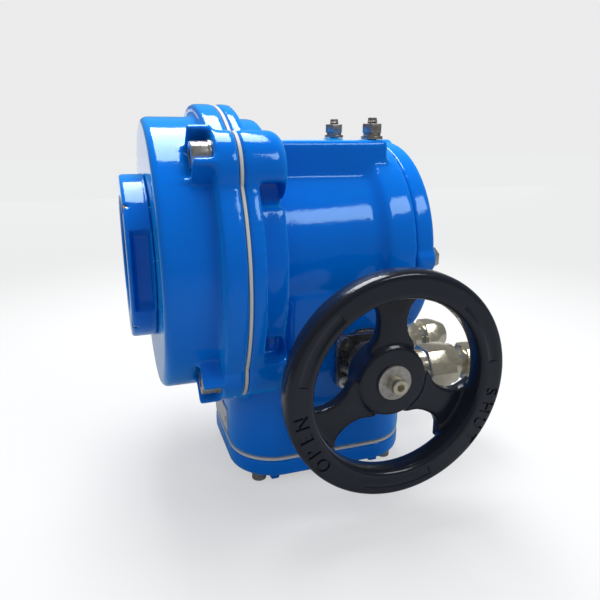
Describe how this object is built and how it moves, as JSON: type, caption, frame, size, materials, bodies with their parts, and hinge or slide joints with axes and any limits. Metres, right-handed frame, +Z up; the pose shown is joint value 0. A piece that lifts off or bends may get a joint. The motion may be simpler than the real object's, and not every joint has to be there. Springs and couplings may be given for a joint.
{
  "type": "electric valve actuator",
  "caption": "Blue quarter-turn electric valve actuator with a worm drive, a spoked black handwheel, a round position window, cable glands and a keyed output for a valve.",
  "frame": {"origin": "centre of the valve mounting face, on the output axis", "axes": "+X along the output axis towards the valve, -Y towards the handwheel side, +Z up when the actuator stands on its lower cover"},
  "size_m": [0.2225, 0.186, 0.215],
  "materials": {
    "blue_paint": "gloss",
    "wheel_paint": "gloss",
    "bearing_plate": "gloss",
    "gasket": "matte",
    "stainless": "satin",
    "steel": "machined",
    "bronze": "machined",
    "plated_brass": "nickel plated",
    "rubber": "matte",
    "clear_window": "clear",
    "motor_paint": "semi-gloss",
    "inner_plastic": "matte",
    "dial_plate": "painted",
    "board": "satin",
    "label_metal": "satin"
  },
  "bodies": {
    "housing": {"base_plate": "blue_paint", "base_plate_bolts": "stainless", "bearing_plate": "bearing_plate", "bearing_plate_screws": "stainless", "board_standoffs": "inner_plastic", "bottom_cover": "blue_paint", "bottom_cover_bolts": "stainless", "bottom_gasket": "gasket", "control_board": "board", "cover_bolt_washers": "stainless", "cover_bolts": "stainless", "cover_gasket": "gasket", "front_bush": "bronze", "front_worm_bearing": "steel", "gland_bodies": "plated_brass", "gland_nuts": "plated_brass", "gland_sleeves": "rubber", "idler_pin": "steel", "indicator_cover": "blue_paint", "label_plate": "label_metal", "label_rivets": "label_metal", "limit_switches": "inner_plastic", "main_housing": "blue_paint", "motor_bracket": "steel", "motor_bracket_screws": "stainless", "motor_capacitor": "inner_plastic", "motor_case": "motor_paint", "rear_bush": "bronze", "rear_cap": "blue_paint", "rear_cap_screws": "stainless", "rear_worm_bearing": "steel", "shaft_seal": "rubber", "stop_screw_nuts": "stainless", "stop_screw_spring_washers": "stainless", "stop_screw_washers": "stainless", "switch_bracket": "steel", "switch_bracket_screws": "stainless", "terminal_block": "inner_plastic", "window_glass": "clear_window", "window_ring": "blue_paint", "window_screws": "stainless", "window_seal": "rubber"},
    "output": {"output_sleeve": "steel", "wheel_key": "steel", "worm_wheel": "bronze", "stop_cam": "steel", "indicator_shaft": "steel", "indicator_dial": "dial_plate", "limit_cams": "inner_plastic"},
    "worm": {"worm_shaft": "steel", "hub_key": "steel", "handwheel": "wheel_paint", "handwheel_washer": "stainless", "handwheel_screw": "stainless", "drive_gear": "steel"},
    "idler": {"idler_gear": "steel"},
    "motor": {"motor_rotor": "steel"},
    "stop_near": {"stop_screw_near": "stainless"},
    "stop_far": {"stop_screw_far": "stainless"}
  },
  "joints": [
    {"name": "output_turn", "type": "hinge", "parent": "housing", "child": "output", "pos_m": [-0.041, 0, 0], "axis": [-1, 0, 0], "range_deg": [0, 90]},
    {"name": "handwheel_turn", "type": "hinge", "parent": "housing", "child": "worm", "pos_m": [-0.041, -0.05, -0.054], "axis": [0, 1, 0], "range_deg": [0, 3600]},
    {"name": "idler_turn", "type": "hinge", "parent": "housing", "child": "idler", "pos_m": [-0.061, 0.0385, -0.07636], "axis": [0, 1, 0], "range_deg": [-5400, 0]},
    {"name": "motor_turn", "type": "hinge", "parent": "housing", "child": "motor", "pos_m": [-0.06459, 0, -0.094], "axis": [0, 1, 0], "range_deg": [0, 10800]},
    {"name": "stop_near_set", "type": "slide", "parent": "housing", "child": "stop_near", "axis": [0, 0, 1], "range_m": [0, 0.004]},
    {"name": "stop_far_set", "type": "slide", "parent": "housing", "child": "stop_far", "axis": [0, 0, 1], "range_m": [0, 0.004]}
  ],
  "couplings": [
    {"joint": "handwheel_turn", "follows": "output_turn", "ratio": 40},
    {"joint": "idler_turn", "follows": "output_turn", "ratio": -60},
    {"joint": "motor_turn", "follows": "output_turn", "ratio": 120}
  ]
}
